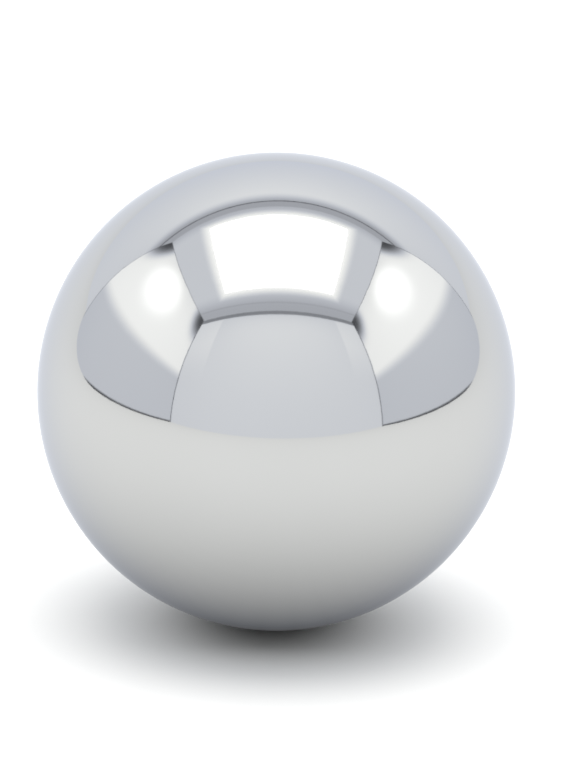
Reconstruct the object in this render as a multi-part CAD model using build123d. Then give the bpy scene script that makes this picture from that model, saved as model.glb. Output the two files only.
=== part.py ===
from build123d import *
import os

# A loose bearing ball: one solid sphere of through-hardened steel, forged, ground and lapped all over.
# It has no bore, seam, flat or coating, so its diameter is its only dimension.
# Millimetres. The origin is the ball's centre, and +Z is up.

# Driving dimension: a nominal 1 inch ball.
BALL_DIAMETER = 25.4

PARTS_FOLDER = "parts"


def bearing_ball():
    """The whole object: a solid sphere about the origin, with its lowest point on -Z."""
    ball = Sphere(radius=BALL_DIAMETER / 2)
    ball.label = "bearing_ball"
    return ball


def write_part(part):
    """Writes a sub-part to the STEP file that carries its name."""
    export_step(part, os.path.join(PARTS_FOLDER, part.label + ".step"))


os.makedirs(PARTS_FOLDER, exist_ok=True)
write_part(bearing_ball())
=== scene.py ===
import math

import bmesh
import bpy
import numpy as np
from mathutils import Matrix, Vector


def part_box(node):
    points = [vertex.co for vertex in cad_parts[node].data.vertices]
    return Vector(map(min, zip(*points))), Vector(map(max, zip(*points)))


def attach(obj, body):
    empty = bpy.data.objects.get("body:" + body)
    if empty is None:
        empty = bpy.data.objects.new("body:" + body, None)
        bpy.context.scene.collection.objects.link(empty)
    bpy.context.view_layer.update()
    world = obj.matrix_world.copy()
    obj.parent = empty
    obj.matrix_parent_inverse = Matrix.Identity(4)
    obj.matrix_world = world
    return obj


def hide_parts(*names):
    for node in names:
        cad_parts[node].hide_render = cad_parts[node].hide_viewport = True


# A mirror-lapped bearing ball stands on a pale floor inside a silver-walled light tent.
# The tent is only seen in the ball: its panels are hidden from the camera and light nothing.
# The LED window and one wide soft sheet overhead light the floor that the camera sees. The ball mirrors
# a tent panel in that floor's place, whose light and shading are worked out by a formula.
# Lengths in metres come from the frame. The tent is laid out in ball radii about the ball's centre,
# with +X to the camera's right, +Y away from the camera and +Z up.

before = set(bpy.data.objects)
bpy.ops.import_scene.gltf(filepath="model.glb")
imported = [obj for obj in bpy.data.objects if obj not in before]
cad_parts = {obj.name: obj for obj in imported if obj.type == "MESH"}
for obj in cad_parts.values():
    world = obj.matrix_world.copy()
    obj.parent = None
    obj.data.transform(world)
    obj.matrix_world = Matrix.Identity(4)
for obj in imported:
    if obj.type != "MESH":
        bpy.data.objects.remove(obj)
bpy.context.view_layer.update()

# ---------------------------------------------------------------- driving dimensions
BALL_NODE = "bearing_ball"
BALL_BODY = "root"
ball_low, ball_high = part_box(BALL_NODE)
BALL_CENTRE = (ball_low + ball_high) / 2
BALL_RADIUS = (ball_high.z - ball_low.z) / 2
BALL_CUTS = 96                      # squares along each edge of the cube that the ball grows from

# the tent, in ball radii from the ball's centre
FLOOR = -1.0
LEFT, RIGHT = -24.0, 23.0
FRONT, REAR = -19.5, 15.5
TOP = 30.0
BACKDROP_TOP = 25.5                 # where the backdrop hangs from its bar
SWEEP_START = 2.5                   # where the backdrop, lying on the floor, begins to curve up
SWEEP_RISE = 6.0                    # how high it has come where it meets the rear of the tent
SHEET_HALF_WIDTH = 15.5             # the white sheet that hangs over the front of the tent
SHEET_EDGE = 0.5
FRONT_GAP = (TOP - 2.2, TOP - 1.6)  # where the front's light falls off into the gap under the ceiling
CEILING_SEAM = FRONT + 3
PAINT_STEP = 0.15                   # spacing of the points that a panel's light is worked out at

# the LED window in the tent's ceiling, in ball radii
WINDOW_HALF_WIDTH = 13.5
WINDOW_HALF_DEPTH = 11.5
WINDOW_DROP = 0.05
WINDOW_RADIANCE = 4.6
WINDOW_TINT = np.array([1.03, 1.0, 0.95])
WINDOW_PATCHES = 5                  # the window is summed as this many patches each way

# the tent's cloth
CLOTH_AMBIENT = 0.95                # light that reaches all the cloth from the rest of the tent
CLOTH_WHITENESS = 0.3
CEILING_LEVEL = 0.95
CEILING_DIMMING = 0.3               # how much the ceiling loses towards the tent's front and rear
CEILING_DIM_DEPTHS = (11, 18)
WINDOW_HALO = 3                     # how far around the window the ceiling is brighter
WINDOW_HALO_LIFT = 0.6
SILVER_LIFT = 0.1                   # the silver beside the front sheet gains this much with height
SILVER_LIFT_HEIGHTS = (8, 20)
BAR_SHADE, BAR_SHADE_DEPTH = 0.45, 6    # the shading of the backdrop below its bar
BAR_HEIGHT = 0.3
GAP_LEVEL = 0.12                    # the gaps and stitched edges between cloths, and the painted shade in a side wall's top corners
FRONT_GAP_LEVEL = 3 * GAP_LEVEL
SEAM_LEVEL = 0.6                    # the ceiling's own seam, and the silver above the backdrop
SEAM_WIDTH = 0.25
BULGE_FOOT = (9.0, 12.0)            # a side wall bulges inwards above these heights and is brighter there
BULGE_GAIN = 1.35
FOOT_GAIN = 0.85
HOT_CENTRE = (0.0, 0.75 * TOP)      # where a side wall mirrors the window
HOT_REACH = (7.0, 6.0)
HOT_LEVEL = 2.0
CORNER_SHADE_REACH = (5.0, 8.0)           # the painted shade in a side wall's top corners, where it meets the ceiling

# the soft light that the tent's cloth throws on the floor, gathered into one wide sheet overhead
GLOW_SIDE = 140.0                   # how far it reaches to each side, in ball radii
GLOW_FRONT, GLOW_REAR = -35.0, 160.0
GLOW_HEIGHT = TOP + 1
GLOW_RADIANCE = 2.5
FLOOR_REACH = 12.0
FLOOR_COLOUR = (0.60, 0.60, 0.60)
FLOOR_ROUGHNESS = 0.6
FLOOR_SPECULAR = 0.1
SURROUND_LEVEL = 1.3

# the camera
CAMERA_DISTANCE = 30.0              # in ball radii
CAMERA_ELEVATION = 18.7             # degrees
CAMERA_AZIMUTH = -1.1
CAMERA_ROLL = 1.2
BALL_SHARE = 0.8459                 # the ball's width over the frame's width
FRAME_WIDTH, FRAME_HEIGHT = 566, 760
AIM_RIGHT, AIM_UP = 0.028, 0.0476   # how far the aim lies from the ball's centre, in ball radii
SENSOR_WIDTH = 36                   # millimetres
FARTHEST_SEEN = 400                 # in ball radii

# tints of light, each 1 in green: silver cloth is bluish where it is dim and plain where it is bright
COOL = np.array([0.95, 1.0, 1.12])
NEUTRAL = np.array([0.98, 1.0, 1.02])
DIM_LEVEL, BRIGHT_LEVEL = 0.75, 1.45

# the steel's colour, face on and near its outline
STEEL_COLOUR = (0.60, 0.594, 0.575)
STEEL_EDGE_TINT = (0.77, 0.79, 0.85)
STEEL_DULLING = 0.985               # the duller patches of lapping haze, over the steel's colour

# the steel's fine marks. A scale is in waves per metre
NOISE_MIDDLE = (0.35, 0.65)         # the part of a noise that is spread over the values asked for
NOISE_CRESTS = (0.70, 0.76)         # its rare crests only, for stray hairlines
CLOUD_SCALE = 1.6 / BALL_RADIUS
HAZE_SCALE = 2.4 / BALL_RADIUS
HAZE_ROUGHNESS = (0.032, 0.046)
HAIRLINE_SCALE = 3.0 / BALL_RADIUS
HAIRLINE_STRETCH = (12.0, 0.35, 12.0)
HAIRLINE_TURNS = ((0.4, 0.2, 0.9), (1.3, 0.5, 2.2), (2.1, 1.1, 0.3))
HAIRLINE_ROUGHNESS = 0.02
GRAIN_SCALE = 60.0 / BALL_RADIUS
GRAIN_STRENGTH = 0.02
GRAIN_DEPTH = 0.00001               # metres


# ---------------------------------------------------------------- the light on the tent's cloth
# Each function named _light takes places u and v on its panel, with the light that falls on the cloth there.
def ramp(x, start, end):
    """0 where x is at start, 1 where it is at end, and smooth between. start may be above end."""
    t = np.clip((x - start) / (end - start), 0, 1)
    return t * t * (3 - 2 * t)


def spot(u, v, at, reach):
    """A soft ellipse: 1 over its middle, falling to 0 past reach."""
    a = (u - at[0]) / reach[0]
    b = (v - at[1]) / reach[1]
    return np.exp(-((a * a + b * b) ** 2))


def seam(x, at):
    """1 where x is close to the seam's own place, falling to 0 beside it."""
    return ramp(np.abs(x - at), 1.5 * SEAM_WIDTH, 0.5 * SEAM_WIDTH)


def lay(light, level, weight):
    """Lays a level over the light where weight is near 1."""
    return light + (level - light) * weight


def tinted(light):
    """Turns levels into colours: cool where the light is low and neutral where it is high."""
    share = ramp(light, DIM_LEVEL, BRIGHT_LEVEL)[..., None]
    return light[..., None] * lay(COOL, NEUTRAL, share)


def cloth_lit(points, facing):
    """Cloth lit by the window, by the cosine law over its patches, and by the rest of the tent.

    The ball shades what lies close to it: seen from a floor it rests on, it hides 1 / distance ** 3 of an
    evenly lit surround, with the distance to its centre in ball radii.
    """
    across = np.linspace(-1, 1, WINDOW_PATCHES) * WINDOW_HALF_WIDTH * (1 - 1 / WINDOW_PATCHES)
    deep = np.linspace(-1, 1, WINDOW_PATCHES) * WINDOW_HALF_DEPTH * (1 - 1 / WINDOW_PATCHES)
    patch = 4 * WINDOW_HALF_WIDTH * WINDOW_HALF_DEPTH / WINDOW_PATCHES ** 2
    share = np.zeros(len(points))
    for x in across:
        for y in deep:
            towards = np.array([x, y, TOP]) - points
            squared = (towards ** 2).sum(1) + patch
            cloth_side = np.clip((towards * facing).sum(1), 0, None)
            window_side = np.clip(towards[:, 2], 0, None)
            share = share + cloth_side * window_side * patch / (math.pi * squared ** 2)
    distance = np.sqrt((points ** 2).sum(1))
    open_share = 1 - np.clip(distance, 1, None) ** -3.0
    return (CLOTH_AMBIENT + CLOTH_WHITENESS * WINDOW_RADIANCE * share) * open_share


def edges(light, u, low, high):
    """A panel's two upright seams."""
    return lay(light, GAP_LEVEL, ramp(np.minimum(u - low, high - u), SEAM_WIDTH, 0))


def front_light(u, v, lit):
    """The front of the tent: a white sheet between two strips of silver wall, under a dark gap."""
    silver = ramp(np.abs(u), SHEET_HALF_WIDTH, SHEET_HALF_WIDTH + SHEET_EDGE)
    light = lit * (1 + SILVER_LIFT * silver * ramp(v, *SILVER_LIFT_HEIGHTS))
    light = lay(light, FRONT_GAP_LEVEL, ramp(v, *FRONT_GAP))
    return tinted(edges(light, u, LEFT, RIGHT))


def ceiling_light(u, v, lit):
    """The silver ceiling, which the window brightens close by and which dims towards front and rear."""
    outside = np.maximum(np.abs(u) - WINDOW_HALF_WIDTH, np.abs(v) - WINDOW_HALF_DEPTH)
    near_window = ramp(outside, WINDOW_HALO, 0)
    far_end = ramp(np.abs(v), *CEILING_DIM_DEPTHS)
    light = CEILING_LEVEL + WINDOW_HALO_LIFT * near_window - CEILING_DIMMING * far_end
    light = lay(light, SEAM_LEVEL, seam(v, CEILING_SEAM))
    return tinted(edges(light, u, LEFT, RIGHT))


def side_light(u, v, lit):
    """A silver side wall: its bulge mirrors the window, painted shade darkens its top corners and its foot
    is a gap.
    """
    light = lit * lay(FOOT_GAIN, BULGE_GAIN, ramp(v, *BULGE_FOOT))
    # painted shade in the wall's top corners, as dark as the gaps between cloths
    for end in (FRONT, REAR):
        light = lay(light, GAP_LEVEL, spot(u, v, (end, TOP), CORNER_SHADE_REACH))
    light = lay(light, HOT_LEVEL, spot(u, v, HOT_CENTRE, HOT_REACH))
    light = lay(light, GAP_LEVEL, ramp(v - FLOOR, 1.5 * SEAM_WIDTH, SEAM_WIDTH))
    return tinted(edges(light, u, FRONT, REAR))


def rear_light(u, v, lit):
    """The backdrop up to its bar, shaded just below it, and the strip of silver wall above."""
    light = lit * (1 - BAR_SHADE * ramp(v, BACKDROP_TOP - BAR_SHADE_DEPTH, BACKDROP_TOP))
    light = lay(light, SEAM_LEVEL, ramp(v, BACKDROP_TOP, BACKDROP_TOP + BAR_HEIGHT))
    light = lay(light, GAP_LEVEL, seam(v, BACKDROP_TOP))
    return tinted(light)


def plain_light(u, v, lit):
    """The plain white backdrop, both where it lies on the floor and where it curves up."""
    return lit[..., None] * NEUTRAL


# ---------------------------------------------------------------- building the stage
def to_world(points):
    """Ball radii about the ball's centre to metres in the frame."""
    return np.asarray(points, float) * BALL_RADIUS + np.array(BALL_CENTRE)


def light_material(name, sampled):
    """Emission whose colour is the light painted on the mesh's points."""
    material = bpy.data.materials.new(name)
    material.use_nodes = True
    material.cycles.emission_sampling = "FRONT_BACK" if sampled else "NONE"
    nodes, links = material.node_tree.nodes, material.node_tree.links
    nodes.clear()
    painted = nodes.new("ShaderNodeAttribute")
    painted.attribute_name = "light"
    emission = nodes.new("ShaderNodeEmission")
    output = nodes.new("ShaderNodeOutputMaterial")
    links.new(painted.outputs["Color"], emission.inputs["Color"])
    links.new(emission.outputs["Emission"], output.inputs["Surface"])
    return material


def stage_mesh(name, points, faces, material):
    """A stage object from points in ball radii."""
    mesh = bpy.data.meshes.new(name)
    mesh.from_pydata(to_world(points).tolist(), [], faces)
    mesh.materials.append(material)
    piece = bpy.data.objects.new(name, mesh)
    bpy.context.scene.collection.objects.link(piece)
    return piece


def paint_points(mesh, light):
    """Stores a light colour at each point of a mesh."""
    colours = np.ones((len(mesh.vertices), 4), np.float32)
    colours[:, :3] = light
    layer = mesh.attributes.new("light", "FLOAT_COLOR", "POINT")
    layer.data.foreach_set("color", colours.ravel())


def grid_faces(columns, rows):
    """The squares of a grid whose points run along the columns first."""
    corner = (np.arange(rows - 1)[:, None] * columns + np.arange(columns - 1)).ravel()
    return np.stack([corner, corner + 1, corner + columns + 1, corner + columns], 1).tolist()


def tent_panel(name, u_range, v_range, place, facing, paint):
    """A panel of the tent, seen only in the ball. place turns u and v into points, paint lights them."""
    columns = int((u_range[1] - u_range[0]) / PAINT_STEP) + 2
    rows = int((v_range[1] - v_range[0]) / PAINT_STEP) + 2
    v, u = np.meshgrid(np.linspace(*v_range, rows), np.linspace(*u_range, columns), indexing="ij")
    u, v = u.ravel(), v.ravel()
    points = place(u, v)
    panel = stage_mesh(name, points, grid_faces(columns, rows), light_material(name, False))
    paint_points(panel.data, paint(u, v, cloth_lit(points, facing(u, v))))
    panel.visible_camera = False
    panel.visible_diffuse = False
    panel.visible_shadow = False


def facing_all(direction):
    """The same facing direction at every point of a flat panel."""
    return lambda u, v: np.tile(np.array(direction, float), (len(u), 1))


def sweep_place(u, v):
    """A quarter of an ellipse, from flat on the floor to upright. Here v is the angle turned through."""
    turned = np.radians(v)
    y = SWEEP_START + (REAR - SWEEP_START) * np.sin(turned)
    z = FLOOR + SWEEP_RISE * (1 - np.cos(turned))
    return np.stack([u, y, z], 1)


def sweep_facing(u, v):
    """The direction square to the curve of the backdrop, towards the ball."""
    turned = np.radians(v)
    rise = SWEEP_RISE * np.sin(turned)
    run = (REAR - SWEEP_START) * np.cos(turned)
    steep = np.hypot(rise, run)
    return np.stack([0 * u, -rise / steep, run / steep], 1)


def make_tent():
    """The tent's four walls, its ceiling, its floor and the curve of its backdrop."""
    across, deep, tall = (LEFT, RIGHT), (FRONT, REAR), (FLOOR, TOP)
    tent_panel("tent_front", across, tall, lambda u, v: np.stack([u, 0 * u + FRONT, v], 1),
               facing_all((0, 1, 0)), front_light)
    tent_panel("tent_left", deep, tall, lambda u, v: np.stack([0 * u + LEFT, u, v], 1),
               facing_all((1, 0, 0)), side_light)
    tent_panel("tent_right", deep, tall, lambda u, v: np.stack([0 * u + RIGHT, u, v], 1),
               facing_all((-1, 0, 0)), side_light)
    tent_panel("tent_ceiling", across, deep, lambda u, v: np.stack([u, v, 0 * u + TOP], 1),
               facing_all((0, 0, -1)), ceiling_light)
    tent_panel("tent_rear", across, tall, lambda u, v: np.stack([u, 0 * u + REAR, v], 1),
               facing_all((0, -1, 0)), rear_light)
    tent_panel("tent_floor", across, (FRONT, SWEEP_START), lambda u, v: np.stack([u, v, 0 * u + FLOOR], 1),
               facing_all((0, 0, 1)), plain_light)
    tent_panel("tent_sweep", across, (0, 90), sweep_place, sweep_facing, plain_light)


def flat_sheet(name, outline, height, material):
    """A level sheet with the given outline."""
    points = [(x, y, height) for x, y in outline]
    return stage_mesh(name, points, [list(range(len(points)))], material)


def oblong(side, front, rear):
    """The corners of an oblong that reaches equally far to both sides."""
    return [(-side, front), (side, front), (side, rear), (-side, rear)]


def make_window():
    """The LED window, just under the ceiling."""
    outline = oblong(WINDOW_HALF_WIDTH, -WINDOW_HALF_DEPTH, WINDOW_HALF_DEPTH)
    window = flat_sheet("tent_window", outline, TOP - WINDOW_DROP, light_material("tent_window", True))
    paint_points(window.data, WINDOW_RADIANCE * WINDOW_TINT)
    window.visible_camera = False
    window.visible_shadow = False


def make_glow():
    """The wide soft light over the tent. It lights the floor and isn't seen in the ball."""
    outline = oblong(GLOW_SIDE, GLOW_FRONT, GLOW_REAR)
    glow = flat_sheet("soft_top_light", outline, GLOW_HEIGHT, light_material("soft_top_light", True))
    paint_points(glow.data, GLOW_RADIANCE * NEUTRAL)
    glow.visible_camera = False
    glow.visible_glossy = False


def make_floor():
    """The plain pale sheet that the camera sees. The ball mirrors the tent's floor panel instead."""
    material = bpy.data.materials.new("pale_floor")
    material.use_nodes = True
    shader = material.node_tree.nodes["Principled BSDF"]
    shader.inputs["Base Color"].default_value = (*FLOOR_COLOUR, 1)
    shader.inputs["Roughness"].default_value = FLOOR_ROUGHNESS
    shader.inputs["Specular IOR Level"].default_value = FLOOR_SPECULAR
    floor = flat_sheet("floor", oblong(FLOOR_REACH, -FLOOR_REACH, FLOOR_REACH), FLOOR, material)
    floor.visible_glossy = False


def make_world():
    """A white surround for the camera, which lights nothing."""
    world = bpy.data.worlds.new("white_surround")
    world.use_nodes = True
    background = world.node_tree.nodes["Background"]
    background.inputs["Color"].default_value = (1, 1, 1, 1)
    background.inputs["Strength"].default_value = SURROUND_LEVEL
    world.cycles_visibility.diffuse = False
    bpy.context.scene.world = world


# ---------------------------------------------------------------- the ball
def speckle(tree, place, scale, detail, part, values):
    """A noise over the surface, with the given part of its range spread onto the given two values."""
    noise = tree.nodes.new("ShaderNodeTexNoise")
    noise.inputs["Scale"].default_value = scale
    noise.inputs["Detail"].default_value = detail
    spread = tree.nodes.new("ShaderNodeMapRange")
    spread.inputs["From Min"].default_value = part[0]
    spread.inputs["From Max"].default_value = part[1]
    spread.inputs["To Min"].default_value = values[0]
    spread.inputs["To Max"].default_value = values[1]
    tree.links.new(place, noise.inputs["Vector"])
    tree.links.new(noise.outputs["Fac"], spread.inputs["Value"])
    return spread.outputs["Result"]


def stretched(tree, place, turn, stretch):
    """Turned and stretched coordinates, so that a noise over them draws out into hairlines."""
    mapping = tree.nodes.new("ShaderNodeMapping")
    mapping.inputs["Rotation"].default_value = turn
    mapping.inputs["Scale"].default_value = stretch
    tree.links.new(place, mapping.inputs["Vector"])
    return mapping.outputs["Vector"]


def combined(tree, operation, first, second):
    """Two values joined by one operation."""
    node = tree.nodes.new("ShaderNodeMath")
    node.operation = operation
    tree.links.new(first, node.inputs[0])
    tree.links.new(second, node.inputs[1])
    return node.outputs["Value"]


def ball_material():
    """Lapped steel: a near mirror, with faint lapping haze, stray hairlines and an almost flat grain."""
    material = bpy.data.materials.new("lapped_bearing_steel")
    material.use_nodes = True
    tree = material.node_tree
    shader = tree.nodes["Principled BSDF"]
    shader.inputs["Specular Tint"].default_value = (*STEEL_EDGE_TINT, 1)
    shader.inputs["Metallic"].default_value = 1.0
    place = tree.nodes.new("ShaderNodeTexCoord").outputs["Object"]

    tone = speckle(tree, place, CLOUD_SCALE, 3, NOISE_MIDDLE, (0, 1))
    colour = tree.nodes.new("ShaderNodeMix")
    colour.data_type = "RGBA"
    colour.inputs["A"].default_value = (*STEEL_COLOUR, 1)
    colour.inputs["B"].default_value = (*(value * STEEL_DULLING for value in STEEL_COLOUR), 1)
    tree.links.new(tone, colour.inputs["Factor"])
    tree.links.new(colour.outputs["Result"], shader.inputs["Base Color"])

    haze = speckle(tree, place, HAZE_SCALE, 4, NOISE_MIDDLE, HAZE_ROUGHNESS)
    for turn in HAIRLINE_TURNS:
        lines = stretched(tree, place, turn, HAIRLINE_STRETCH)
        hairline = speckle(tree, lines, HAIRLINE_SCALE, 2, NOISE_CRESTS, (0, HAIRLINE_ROUGHNESS))
        haze = combined(tree, "ADD", haze, hairline)
    tree.links.new(haze, shader.inputs["Roughness"])

    grain = speckle(tree, place, GRAIN_SCALE, 2, (0, 1), (0, 1))
    relief = tree.nodes.new("ShaderNodeBump")
    relief.inputs["Strength"].default_value = GRAIN_STRENGTH
    relief.inputs["Distance"].default_value = GRAIN_DEPTH
    tree.links.new(grain, relief.inputs["Height"])
    tree.links.new(relief.outputs["Normal"], shader.inputs["Normal"])
    return material


def make_ball():
    """A sphere grown from a cube, so that its squares are even all over and no point gathers them."""
    shape = bmesh.new()
    bmesh.ops.create_cube(shape, size=2)
    bmesh.ops.subdivide_edges(shape, edges=shape.edges[:], cuts=BALL_CUTS - 1, use_grid_fill=True)
    for point in shape.verts:
        x, y, z = (math.tan(value * math.pi / 4) for value in point.co)
        point.co = BALL_CENTRE + Vector((x, y, z)).normalized() * BALL_RADIUS
    for face in shape.faces:
        face.smooth = True
    mesh = bpy.data.meshes.new(BALL_NODE)
    shape.to_mesh(mesh)
    shape.free()
    mesh.materials.append(ball_material())
    ball = bpy.data.objects.new("lapped_ball", mesh)
    bpy.context.scene.collection.objects.link(ball)
    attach(ball, BALL_BODY)
    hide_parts(BALL_NODE)


# ---------------------------------------------------------------- the camera
def make_camera():
    """The camera, with a lens that gives the ball its share of the frame's width."""
    elevation, azimuth = math.radians(CAMERA_ELEVATION), math.radians(CAMERA_AZIMUTH)
    level = math.cos(elevation)
    away = Vector((math.sin(azimuth) * level, -math.cos(azimuth) * level, math.sin(elevation)))
    upright = away.to_track_quat("Z", "Y").to_matrix()
    turned = upright @ Matrix.Rotation(math.radians(CAMERA_ROLL), 3, "Z")
    half_ball = math.asin(1 / CAMERA_DISTANCE)
    lens_data = bpy.data.cameras.new("camera")
    lens_data.sensor_width = SENSOR_WIDTH
    frame_share = BALL_SHARE * FRAME_WIDTH / FRAME_HEIGHT
    lens_data.lens = lens_data.sensor_width * frame_share / 2 / math.tan(half_ball)
    lens_data.clip_start = BALL_RADIUS
    lens_data.clip_end = BALL_RADIUS * FARTHEST_SEEN
    camera = bpy.data.objects.new("camera", lens_data)
    bpy.context.scene.collection.objects.link(camera)
    aim = BALL_CENTRE + turned @ Vector((AIM_RIGHT, AIM_UP, 0)) * BALL_RADIUS
    camera.matrix_world = Matrix.Translation(aim + away * CAMERA_DISTANCE * BALL_RADIUS) @ turned.to_4x4()
    bpy.context.scene.camera = camera


make_tent()
make_window()
make_glow()
make_floor()
make_world()
make_ball()
make_camera()
bpy.context.scene.view_settings.view_transform = "Standard"
